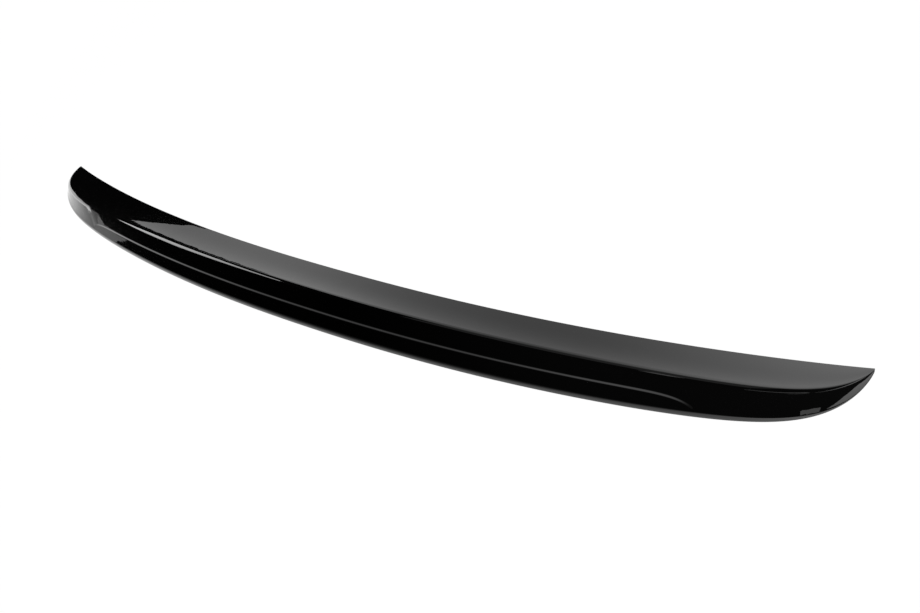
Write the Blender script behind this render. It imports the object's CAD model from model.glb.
"""Looks of the boot-lid lip spoiler: a gloss-black blade over a pale studio sweep.

The blade is drawn in the position where its lower rear edge lies level, in millimetres, and is then pitched
into the attitude that it has on the boot lid and set into the frame, in metres.
"""
from math import cos, pi, radians, sin

import bpy
from mathutils import Matrix, Vector
from mathutils.geometry import interpolate_bezier


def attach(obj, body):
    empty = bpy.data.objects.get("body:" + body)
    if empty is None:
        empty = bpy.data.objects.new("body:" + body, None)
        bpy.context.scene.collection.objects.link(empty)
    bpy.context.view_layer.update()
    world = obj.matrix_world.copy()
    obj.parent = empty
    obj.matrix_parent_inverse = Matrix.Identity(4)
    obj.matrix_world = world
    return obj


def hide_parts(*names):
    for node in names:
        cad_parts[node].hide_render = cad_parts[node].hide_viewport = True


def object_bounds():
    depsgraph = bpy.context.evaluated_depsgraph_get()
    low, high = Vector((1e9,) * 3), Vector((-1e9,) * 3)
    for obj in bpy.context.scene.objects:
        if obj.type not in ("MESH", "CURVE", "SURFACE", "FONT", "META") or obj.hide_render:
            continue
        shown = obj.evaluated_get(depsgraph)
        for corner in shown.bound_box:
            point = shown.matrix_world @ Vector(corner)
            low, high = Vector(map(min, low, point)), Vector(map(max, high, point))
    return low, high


MM = 0.001  # a millimetre in metres

# Span and plan of the blade, in millimetres like all of its lengths
HALF_SPAN = 575.0  # middle of the blade to a tip
TIP_BLUNT = 0.6  # how far past a tip the lines of the blade would meet
PLAN_BOW = 88.0  # how far the tips lie ahead of the middle
PLAN_POWER = 2.2  # how late along the half span that sweep comes

# Leading edge, above the level of the lower rear edge
LEAD_HEIGHT = 48.8  # at the middle
TIP_HEIGHT = 37.8  # at the tips
CROWN_POWER = 2.2  # how late along the half span the drop comes

# Top, from the leading edge back to the ridge
TOP_WIDTH = 58.0  # leading edge to ridge, in plan
TOP_RISE = 8.8  # ridge above the leading edge
TOP_HOLLOW = 1.5  # depth of the hollow across the top
RIDGE_ROUND = 6.0  # set-back of the rounding on each side of the ridge
RIDGE_EDGE = 7.0  # degrees by which that rounding starts steeper than the top ends
NOSE_ROUND = 1.4  # set-back of the rounding on each side of the leading edge
ROUND_HANDLE = 0.55  # share of a rounding's set-back that its handles take

# Rear face and the level foot below it
REAR_REACH = 62.2  # leading edge to the rear face at its lower edge, in plan
FOOT_WIDTH = 17.0  # width of the foot, before the rear face turns under
FOOT_TURN = 4.6  # height above the foot at which the rear face turns under
FOOT_TUCK = 2.4  # how far it turns under

# Ledge along the rear face: the panel below it is set in
LEDGE_DEPTH = 0.8  # how far the panel is set in
LEDGE_DROP = 2.2  # height over which the face steps in
LEDGE_ROUND = 1.4  # how far above and below the step its soft run starts and ends
LEDGE_DOWN = 26.7  # ridge to ledge, down the rear face
LEDGE_DIP = 16.0  # how much lower the ledge is where it runs out
LEDGE_END = 428.0  # middle of the blade to the place where the ledge runs out
LEDGE_TURN = 28.0  # how suddenly the ledge turns down there

# How the lines close on the tips: power of the share of the half span, then roundness
RIDGE_CLOSING = (14.7, 0.90)
RISE_CLOSING = (3.5, 1.0)
REAR_CLOSING = (19.9, 0.67)
LIFT_CLOSING = (10.9, 0.84)

# Recessed lands for the mounting tape, along both edges of the underside
TAPE_WIDTH = 12.0
TAPE_DEPTH = 0.8
TAPE_INSET = 8.0  # edge of the underside to the near side of a land
TAPE_END = 470.0  # middle of the blade to the end of a land
TAPE_WALL = 0.2  # length of the slope at the end of a land

# Attitude on the boot lid
PITCH = 28.0  # degrees that the nose is tipped down

# Fineness of the mesh: sections on each half span, then faces across each part of a section
STATIONS = 300
NOSE_STEPS = 8
TOP_STEPS = 20
RIDGE_STEPS = 14
PANEL_STEPS = 10  # above the ledge and again below it
LEDGE_STEPS = 16
TURN_STEPS = 14  # where the rear face turns under
FOOT_STEPS = 4
SHARP_FROM = 35.0  # degrees from which an edge of the mesh shows as sharp

# Paint: nearly pure black, with the gloss in its clear coat
PAINT_COLOUR = (0.0007, 0.0007, 0.0008, 1.0)
PAINT_SPECULAR = 0.003  # level of the paint's own shine
PAINT_IOR = 1.5
COAT_IOR = 1.5
COAT_ROUGHNESS = 0.012

# Unevenness of the paint, with scales in repeats a metre
HAZE_SCALE, HAZE_DETAIL = 24.0, 5.0
HAZE_ROUGHNESS = (0.20, 0.32)  # of the paint under the coat, from clear to hazy
DUST_SCALE = 90.0
DUST_RADII = (0.03, 0.07)  # up to which a speck is full and shows at all, in shares of a repeat
DUST_COLOUR = (0.02, 0.02, 0.021, 1.0)
WAVE_SCALE, WAVE_DETAIL, WAVE_STRENGTH = 35.0, 1.0, 0.2
PEEL_SCALE, PEEL_DETAIL, PEEL_STRENGTH = 260.0, 2.0, 0.02
RELIEF = 0.0005  # height of wave and peel at full strength, in metres

# Camera, in the position where the lower rear edge lies level
LENS, SENSOR = 26.0, 36.0  # millimetres
CAMERA_AZIMUTH, CAMERA_ELEVATION, CAMERA_ROLL = 28.668, 36.782, 2.308  # degrees
CAMERA_DISTANCE, CAMERA_RIGHT, CAMERA_UP = 825.93, 147.11, -12.54  # millimetres
CAMERA_CLIP = 0.05  # nearest distance that it sees, in metres

# Studio, in metres: the floor lies as far below the blade as the road lies below a boot lid
FLOOR_Z = -0.95
FLOOR_LEFT = -4.5  # left end of the line where the bend rises from the floor
SWEEP_RADIUS = 0.5  # of the bend
SWEEP_RIGHT = 4.0  # right edge of bend and wall
WALL_Y = 2.2
BEND_STEPS = 12  # faces round the bend
# Corners of the floor, from its left side round the rear to its right side: X and Y
FLOOR_EDGE = ((-4.5, -1.0), (-3.7, -2.0), (-3.7, -7.0), (3.0, -7.0), (9.0, -10.6), (8.3, 1.7))
# Left edge of the wall, from the bend upward: X and Z
WALL_EDGE = ((-1.9, -0.45), (-2.96, -0.31), (-2.52, 0.22), (-2.0, 0.45), (-1.88, 1.2), (-1.0, 2.7))

# The sheet's paper, and how much of its look is brightness of its own where it is seen or mirrored
PAPER_COLOUR = (0.82, 0.82, 0.82, 1.0)
PAPER_GLOW = 0.97
# Brightness of the floor at places along X, and the share of it at places towards the rear
FLOOR_ACROSS = ((1.0, 1.03), (3.0, 1.85), (8.0, 1.5))
FLOOR_AWAY = ((-8.0, 0.03), (-4.0, 0.07), (-3.1, 0.11), (-2.5, 0.25), (-2.1, 0.45), (-1.3, 1.0))
FLOOR_SLANTS = (0.3, 0.8)  # shares of X, left and right of the middle, that count with Y in those places
# Brightness of the wall at places along X, and the share of it at heights
WALL_ACROSS = (
    (-2.6, 0.95), (-1.7, 1.21), (-0.9, 0.86), (0.0, 0.9),
    (0.8, 1.68), (1.5, 1.9), (2.4, 1.5), (3.6, 0.6),
)
WALL_UPWARD = ((-0.45, 1.0), (0.1, 0.9), (0.5, 1.15), (1.0, 1.3), (2.7, 0.75))
BEND_GLOW = 0.1  # height above the floor from which the bend takes on the wall's brightness

# Light cards, upright across X: their place, their brightness, and the Y and height of their corners
UPRIGHT_CARDS = {
    "left_card": (
        -2.28,
        5.6,
        (
            (-0.56, 1.37), (0.0, 1.17), (0.3, 1.07), (0.58, 0.91), (1.3, 0.88),
            (1.5, 1.55), (1.1, 2.3), (0.7, 2.81), (0.1, 2.94),
        ),
    ),
    "left_low_card": (
        -2.4,
        2.0,
        ((-0.52, -0.53), (0.87, -0.4), (0.87, 0.27), (0.34, 0.5), (-0.2, 0.43), (-0.52, -0.03)),
    ),
    "right_card": (
        2.6,
        1.8,
        ((1.37, -0.03), (0.4, -0.01), (0.03, 0.14), (-0.5, 0.35), (-0.84, 0.42), (0.0, 0.45), (1.37, 0.55)),
    ),
    "right_bar": (2.6, 1.1, ((-0.95, 0.3), (-1.67, 0.25), (-1.79, 0.32), (-1.09, 0.41))),
    "right_strip": (
        2.6,
        1.6,
        ((-0.65, 0.75), (-1.6, 1.05), (-2.5, 1.4), (-2.5, 1.62), (-1.6, 1.3), (-0.65, 1.0)),
    ),
}
# Level cards: their height, their brightness, and the X and Y of their corners
LEVEL_CARDS = {
    "ceiling_strip": (2.75, 1.4, ((1.1, -0.4), (1.1, -1.25), (1.4, -1.25), (1.4, -0.4))),
    "left_floor_card": (
        -0.94,
        0.55,
        ((-4.19, -1.34), (-4.46, -1.93), (-4.06, -1.53), (-3.5, -1.25), (-3.57, -0.99), (-4.17, -1.17)),
    ),
}
# Softbox overhead
SOFTBOX_PLACE = (0.6, 0.95, 2.75)
SOFTBOX_AIM = (0.6, 0.95, 0.0)
SOFTBOX_WIDTH, SOFTBOX_DEPTH = 3.2, 2.5
SOFTBOX_RADIANCE = 0.27
# Brightness of the room beyond, by the share of X in the direction
ROOM_ACROSS = ((-0.5, 0.004), (0.0, 0.03), (0.8, 0.045))


def closing(share, law):
    """Return 1 along most of the half span, falling to 0 at the tip."""
    power, roundness = law
    return (1.0 - share**power) ** roundness


def share_of_span(x):
    """Return how far x lies towards the point where the lines of the blade would meet."""
    return abs(x) / (HALF_SPAN + TIP_BLUNT)


def corners(x):
    """Return the section's corners at x: leading edge, ridge, rear corner and inner corner of the foot."""
    share = share_of_span(x)
    rear_scale = closing(share, REAR_CLOSING)
    drop = (LEAD_HEIGHT - TIP_HEIGHT) * share**CROWN_POWER
    lead = Vector((x, PLAN_BOW * share**PLAN_POWER, LEAD_HEIGHT - drop))
    top = Vector((0, -TOP_WIDTH * closing(share, RIDGE_CLOSING), TOP_RISE * closing(share, RISE_CLOSING)))
    lift = TIP_HEIGHT * (1.0 - closing(share, LIFT_CLOSING))
    rear = Vector((x, lead.y - REAR_REACH * rear_scale, lift))
    inner = rear + Vector((0, FOOT_WIDTH * rear_scale, 0))
    return lead, lead + top, rear, inner


def rear_face_height(x):
    """Return the length of the rear face at x, from ridge to rear corner."""
    _, ridge, rear, _ = corners(x)
    return (rear - ridge).length


def ledge_fade(x):
    """Return 1 where the ledge has its full depth, falling to 0 where it runs out."""
    return max(0.0, 1.0 - (abs(x) / LEDGE_END) ** LEDGE_TURN)


def toward(start, end, distance):
    """Return the point at a distance from start on the way to end."""
    return start + (end - start).normalized() * distance


def curve(start, start_handle, end_handle, end, steps):
    """Return points on a curve, without its end."""
    return interpolate_bezier(start, start_handle, end_handle, end, steps + 1)[:-1]


def side(start, pull, end, steps):
    """Return points on a side that a point pulls into a curve, closer near its ends, without its end."""
    shares = [(1.0 - cos(pi * i / steps)) / 2 for i in range(steps)]
    return [start.lerp(pull, share).lerp(pull.lerp(end, share), share) for share in shares]


def line(start, end, steps):
    """Return points on a straight side, closer near its ends, without its end."""
    return side(start, start.lerp(end, 0.5), end, steps)


def rounding(corner, before, after, setback):
    """Return the start, the handles and the end of a rounded corner."""
    first = toward(corner, before, setback)
    last = toward(corner, after, setback)
    return first, first.lerp(corner, ROUND_HANDLE), last.lerp(corner, ROUND_HANDLE), last


def tape_land(start, end, sunk):
    """Return the four corners of one tape land's section, sunk along a vector."""
    return [start, start + sunk, end + sunk, end]


def section(x, tape_depth):
    """Return the closed outline at x, from the leading edge over the top and round to the underside."""
    lead, ridge, rear, inner = corners(x)
    top_scale = closing(share_of_span(x), RIDGE_CLOSING)
    face_scale = rear_face_height(x) / rear_face_height(0.0)
    fade = ledge_fade(x)

    face = (rear - ridge).normalized()
    inset = Vector((0, -face.z, face.y)) * LEDGE_DEPTH * fade
    down = (rear - inset - ridge).normalized() * face_scale
    ledge_top = ridge + down * (LEDGE_DOWN + LEDGE_DIP * (1.0 - fade))
    ledge_foot = ledge_top + down * LEDGE_DROP + inset
    ledge_start = toward(ledge_top, ridge, LEDGE_ROUND * face_scale)
    ledge_end = toward(ledge_foot, rear, LEDGE_ROUND * face_scale)
    # A third of the whole run, along the face, so that the ledge starts and ends softly
    ledge_handle = down * (LEDGE_DROP / 3 + LEDGE_ROUND * 2 / 3)

    # The top dips half as deep as the point that pulls it into a curve
    hollow = (lead + ridge) * 0.5 - Vector((0, 0, 2.0 * TOP_HOLLOW * top_scale))
    nose = rounding(lead, inner, hollow, NOSE_ROUND * top_scale)
    ridge_start, handle, *ridge_rest = rounding(ridge, hollow, ledge_top, RIDGE_ROUND * top_scale)
    steeper = Matrix.Rotation(radians(RIDGE_EDGE), 3, "X") @ (handle - ridge_start)
    turn = toward(rear, ledge_foot, FOOT_TURN * face_scale)
    tuck = toward(rear, inner, FOOT_TUCK * face_scale)
    foot_round = rounding(turn, ledge_foot, tuck, (tuck - turn).length)

    along = (lead - inner).normalized()
    tape_inset = along * TAPE_INSET * face_scale
    tape_width = along * TAPE_WIDTH * face_scale
    sunk = Vector((0, -along.z, along.y)) * tape_depth
    return [
        *curve(*nose, NOSE_STEPS),
        *side(nose[-1], hollow, ridge_start, TOP_STEPS),
        *curve(ridge_start, ridge_start + steeper, *ridge_rest, RIDGE_STEPS),
        *line(ridge_rest[-1], ledge_start, PANEL_STEPS),
        *curve(ledge_start, ledge_start + ledge_handle, ledge_end - ledge_handle, ledge_end, LEDGE_STEPS),
        *line(ledge_end, foot_round[0], PANEL_STEPS),
        *curve(*foot_round, TURN_STEPS),
        *line(foot_round[-1], inner, FOOT_STEPS),
        inner,
        *tape_land(inner + tape_inset, inner + tape_inset + tape_width, sunk),
        *tape_land(lead - tape_inset - tape_width, lead - tape_inset, sunk),
    ]


def stations():
    """Return the places of the sections along the span, each with the depth of the tape lands there."""
    plain = [HALF_SPAN * sin(pi / 2 * i / STATIONS) for i in range(-STATIONS, STATIONS + 1)]
    rows = [(x, TAPE_DEPTH if abs(x) < TAPE_END else 0.0) for x in plain]
    for sign in (-1, 1):
        rows += [(sign * TAPE_END, TAPE_DEPTH), (sign * (TAPE_END + TAPE_WALL), 0.0)]
    return sorted(rows)


def blade_mesh():
    """Return the blade's closed mesh in the level position, in millimetres."""
    rows = [section(x, depth) for x, depth in stations()]
    count = len(rows[0])
    faces = []
    for i in range(len(rows) - 1):
        here, beyond = i * count, (i + 1) * count
        for j in range(count):
            k = (j + 1) % count
            faces.append((here + j, here + k, beyond + k, beyond + j))
    last = (len(rows) - 1) * count
    faces.append(tuple(reversed(range(count))))
    faces.append(tuple(range(last, last + count)))
    mesh = bpy.data.meshes.new("spoiler_blade")
    mesh.from_pydata([point for row in rows for point in row], [], faces)
    mesh.validate()
    mesh.shade_smooth()
    mesh.set_sharp_from_angle(angle=radians(SHARP_FROM))
    # The slight edge where the ridge's rounding starts is sharp as well
    ridge_start = NOSE_STEPS + TOP_STEPS
    for edge in mesh.edges:
        if all(index % count == ridge_start for index in edge.vertices):
            edge.use_edge_sharp = True
    return mesh


def placing(mesh, box):
    """Return the matrix that pitches the level blade and sets it into the box of the solid."""
    pitched = Matrix.Scale(MM, 4) @ Matrix.Rotation(radians(-PITCH), 4, "X")
    points = [pitched @ vertex.co for vertex in mesh.vertices]
    low = Vector([min(p[i] for p in points) for i in range(3)])
    high = Vector([max(p[i] for p in points) for i in range(3)])
    middle, wanted = (low + high) / 2, (box[0] + box[1]) / 2
    return Matrix.Translation(wanted - middle) @ pitched


def add(name, data):
    """Return a new object in the scene."""
    made = bpy.data.objects.new(name, data)
    bpy.context.scene.collection.objects.link(made)
    return made


def feed(tree, target, inputs):
    """Give inputs of a node, by name or number, a value each or a link from another node's output."""
    for key, value in inputs.items():
        if isinstance(value, bpy.types.NodeSocket):
            tree.links.new(value, target.inputs[key])
        else:
            target.inputs[key].default_value = value


def node(tree, kind, inputs, **settings):
    """Return a new node with its settings and inputs."""
    made = tree.nodes.new(kind)
    for name, value in settings.items():
        setattr(made, name, value)
    feed(tree, made, inputs)
    return made


def calc(tree, operation, *operands):
    """Return the result of a calculation with numbers and with outputs of other nodes."""
    return node(tree, "ShaderNodeMath", dict(enumerate(operands)), operation=operation).outputs[0]


def graph(tree, value, stops):
    """Return a value that follows a smooth graph through a few stops, each a place and a level."""
    first, last = stops[0][0], stops[-1][0]
    peak = max(level for _, level in stops)  # a ramp ends at 1, so it holds shares of this
    share = node(tree, "ShaderNodeMapRange", {"Value": value, "From Min": first, "From Max": last})
    ramp = node(tree, "ShaderNodeValToRGB", {"Fac": share.outputs["Result"]})
    ramp.color_ramp.interpolation = "CARDINAL"
    elements = ramp.color_ramp.elements
    while len(elements) < len(stops):
        elements.new(0.5)
    for element, (spot, level) in zip(elements, stops):
        element.position = (spot - first) / (last - first)
        element.color = (level / peak, level / peak, level / peak, 1.0)
    return calc(tree, "MULTIPLY", ramp.outputs["Color"], peak)


def axes(tree, coordinates):
    """Return X, Y and Z of a kind of texture coordinates."""
    place = node(tree, "ShaderNodeTexCoord", {}).outputs[coordinates]
    return node(tree, "ShaderNodeSeparateXYZ", {0: place}).outputs


def noise(tree, place, scale, detail):
    """Return a cloudy pattern."""
    clouds = node(tree, "ShaderNodeTexNoise", {"Vector": place, "Scale": scale, "Detail": detail})
    return clouds.outputs["Fac"]


def relief(tree, height, strength):
    """Return a bump node for a pattern of heights."""
    return node(tree, "ShaderNodeBump", {"Height": height, "Strength": strength, "Distance": RELIEF})


def gloss_black():
    """Return piano-black paint under clear coat, with haze, a little dust, a faint wave and orange peel."""
    material = bpy.data.materials.new("gloss_black")
    material.use_nodes = True
    tree = material.node_tree
    place = node(tree, "ShaderNodeTexCoord", {}).outputs["Object"]

    clear, hazy = HAZE_ROUGHNESS
    haze = noise(tree, place, HAZE_SCALE, HAZE_DETAIL)
    roughness = node(tree, "ShaderNodeMapRange", {"Value": haze, "To Min": clear, "To Max": hazy})

    full, gone = DUST_RADII
    dust = node(tree, "ShaderNodeTexVoronoi", {"Vector": place, "Scale": DUST_SCALE}).outputs["Distance"]
    specks = node(
        tree,
        "ShaderNodeMapRange",
        {"Value": dust, "From Min": full, "From Max": gone, "To Min": 1.0, "To Max": 0.0},
    )
    # Inputs 6 and 7 of a mix node and its output 2 are its colours
    colour = node(
        tree,
        "ShaderNodeMix",
        {0: specks.outputs["Result"], 6: PAINT_COLOUR, 7: DUST_COLOUR},
        data_type="RGBA",
    )

    wave = relief(tree, noise(tree, place, WAVE_SCALE, WAVE_DETAIL), WAVE_STRENGTH)
    peel = relief(tree, noise(tree, place, PEEL_SCALE, PEEL_DETAIL), PEEL_STRENGTH)
    feed(tree, peel, {"Normal": wave.outputs["Normal"]})

    paint = {
        "Base Color": colour.outputs[2],
        "Roughness": roughness.outputs["Result"],
        "IOR": PAINT_IOR,
        "Specular IOR Level": PAINT_SPECULAR,
        "Normal": peel.outputs["Normal"],
        "Coat Weight": 1.0,
        "Coat Roughness": COAT_ROUGHNESS,
        "Coat IOR": COAT_IOR,
        "Coat Normal": peel.outputs["Normal"],
    }
    feed(tree, tree.nodes["Principled BSDF"], paint)
    return material


def bare_material(name):
    """Return a material without nodes, and its tree."""
    material = bpy.data.materials.new(name)
    material.use_nodes = True
    material.node_tree.nodes.clear()
    return material, material.node_tree


def pale_paper():
    """Return the sheet's paper, which has a brightness of its own where it is seen or mirrored."""
    material, tree = bare_material("pale_paper")
    x, y, z = axes(tree, "Object")

    left_slant, right_slant = FLOOR_SLANTS
    right_side = calc(tree, "MAXIMUM", x, 0.0)
    right_away = calc(tree, "MULTIPLY_ADD", right_side, right_slant - left_slant, y)
    away = calc(tree, "MULTIPLY_ADD", x, left_slant, right_away)
    floor_glow = calc(tree, "MULTIPLY", graph(tree, x, FLOOR_ACROSS), graph(tree, away, FLOOR_AWAY))
    wall_glow = calc(tree, "MULTIPLY", graph(tree, x, WALL_ACROSS), graph(tree, z, WALL_UPWARD))
    on_wall = node(
        tree,
        "ShaderNodeMapRange",
        {"Value": z, "From Min": FLOOR_Z + BEND_GLOW, "From Max": FLOOR_Z + SWEEP_RADIUS},
    )
    # Inputs 2 and 3 of a mix node are its numbers
    strength = node(
        tree,
        "ShaderNodeMix",
        {0: on_wall.outputs["Result"], 2: floor_glow, 3: wall_glow},
        data_type="FLOAT",
    )

    seen = node(tree, "ShaderNodeLightPath", {}).outputs
    camera_or_glossy = calc(tree, "MAXIMUM", seen["Is Camera Ray"], seen["Is Glossy Ray"])
    any_view = calc(tree, "MAXIMUM", camera_or_glossy, seen["Is Transmission Ray"])
    share = calc(tree, "MULTIPLY", any_view, PAPER_GLOW)
    paper = node(tree, "ShaderNodeBsdfDiffuse", {"Color": PAPER_COLOUR})
    glow = node(tree, "ShaderNodeEmission", {"Strength": strength.outputs[0]})
    mix = node(tree, "ShaderNodeMixShader", {0: share, 1: paper.outputs[0], 2: glow.outputs[0]})
    node(tree, "ShaderNodeOutputMaterial", {"Surface": mix.outputs[0]})
    return material


def studio_sweep():
    """Add one pale sheet: floor, bend and wall, with a left edge that changes with its height."""
    centre_y, centre_z = WALL_Y - SWEEP_RADIUS, FLOOR_Z + SWEEP_RADIUS
    rows = []
    for i in range(BEND_STEPS + 1):
        turn = radians(90 * i / BEND_STEPS)
        # The left edge runs in to the wall's over the first half of the bend
        left = FLOOR_LEFT + (WALL_EDGE[0][0] - FLOOR_LEFT) * min(1.0, 2.0 * i / BEND_STEPS)
        rows.append((left, centre_y + SWEEP_RADIUS * sin(turn), centre_z - SWEEP_RADIUS * cos(turn)))
    rows += [(left, WALL_Y, z) for left, z in WALL_EDGE[1:]]
    points = [point for left, y, z in rows for point in ((left, y, z), (SWEEP_RIGHT, y, z))]
    faces = [(2 * i, 2 * i + 1, 2 * i + 3, 2 * i + 2) for i in range(len(rows) - 1)]
    faces.append((0, *range(len(points), len(points) + len(FLOOR_EDGE)), 1))
    points += [(x, y, FLOOR_Z) for x, y in FLOOR_EDGE]
    mesh = bpy.data.meshes.new("studio_sweep")
    mesh.from_pydata(points, [], faces)
    mesh.shade_smooth()
    mesh.materials.append(pale_paper())
    sweep = add("studio_sweep", mesh)


def light_card(name, radiance, outline):
    """Add a flat card that glows evenly and, like a lamp, shows only by its light."""
    material, tree = bare_material(name)
    glow = node(tree, "ShaderNodeEmission", {"Strength": radiance})
    node(tree, "ShaderNodeOutputMaterial", {"Surface": glow.outputs[0]})
    mesh = bpy.data.meshes.new(name)
    mesh.from_pydata(outline, [], [range(len(outline))])
    mesh.materials.append(material)
    card = add(name, mesh)
    card.visible_camera = False


def softbox():
    """Add a soft rectangular lamp overhead that has the same brightness all over."""
    light = bpy.data.lights.new("overhead_softbox", "AREA")
    light.shape = "RECTANGLE"
    light.size, light.size_y = SOFTBOX_WIDTH, SOFTBOX_DEPTH
    light.energy = SOFTBOX_RADIANCE * pi * SOFTBOX_WIDTH * SOFTBOX_DEPTH
    lamp = add("overhead_softbox", light)
    lamp.location = SOFTBOX_PLACE
    lamp.rotation_mode = "QUATERNION"
    lamp.rotation_quaternion = (Vector(SOFTBOX_AIM) - Vector(SOFTBOX_PLACE)).to_track_quat("-Z", "Y")


def dim_room():
    """Set the world to the dark of the studio beyond the sweep, a little less dark to the right."""
    world = bpy.data.worlds.new("dim_room")
    world.use_nodes = True
    tree = world.node_tree
    x, _, _ = axes(tree, "Generated")
    feed(tree, tree.nodes["Background"], {"Color": graph(tree, x, ROOM_ACROSS)})
    bpy.context.scene.world = world


def camera(place):
    """Add the camera, given in the level position, and turn it with the blade."""
    azimuth, elevation, roll = radians(CAMERA_AZIMUTH), radians(CAMERA_ELEVATION), radians(CAMERA_ROLL)
    right = Vector((cos(azimuth), sin(azimuth), 0))
    back = Vector((sin(azimuth) * cos(elevation), -cos(azimuth) * cos(elevation), sin(elevation)))
    up = back.cross(right)
    spot = back * CAMERA_DISTANCE + right * CAMERA_RIGHT + up * CAMERA_UP
    rolled_right = right * cos(roll) - up * sin(roll)
    rolled_up = right * sin(roll) + up * cos(roll)
    turn = place.to_3x3().normalized()
    turned = Matrix([turn @ rolled_right, turn @ rolled_up, turn @ back]).transposed()
    data = bpy.data.cameras.new("camera")
    data.lens, data.sensor_width = LENS, SENSOR
    data.clip_start = CAMERA_CLIP
    shot = add("camera", data)
    shot.matrix_world = Matrix.Translation(place @ spot) @ turned.to_4x4()
    bpy.context.scene.camera = shot


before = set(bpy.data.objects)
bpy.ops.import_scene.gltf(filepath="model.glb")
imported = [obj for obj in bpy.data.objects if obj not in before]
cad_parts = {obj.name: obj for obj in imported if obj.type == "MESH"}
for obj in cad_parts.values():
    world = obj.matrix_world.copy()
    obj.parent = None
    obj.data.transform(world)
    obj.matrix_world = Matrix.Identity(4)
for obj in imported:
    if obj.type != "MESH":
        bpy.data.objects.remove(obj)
cad_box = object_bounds()

mesh = blade_mesh()
place = placing(mesh, cad_box)
mesh.transform(place)
mesh.materials.append(gloss_black())
blade = add("spoiler_blade", mesh)
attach(blade, "root")
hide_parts("rear_spoiler")

studio_sweep()
for name, (x, radiance, outline) in UPRIGHT_CARDS.items():
    light_card(name, radiance, [(x, y, z) for y, z in outline])
for name, (z, radiance, outline) in LEVEL_CARDS.items():
    light_card(name, radiance, [(x, y, z) for x, y in outline])
softbox()
dim_room()
camera(place)
bpy.context.scene.view_settings.view_transform = "Standard"
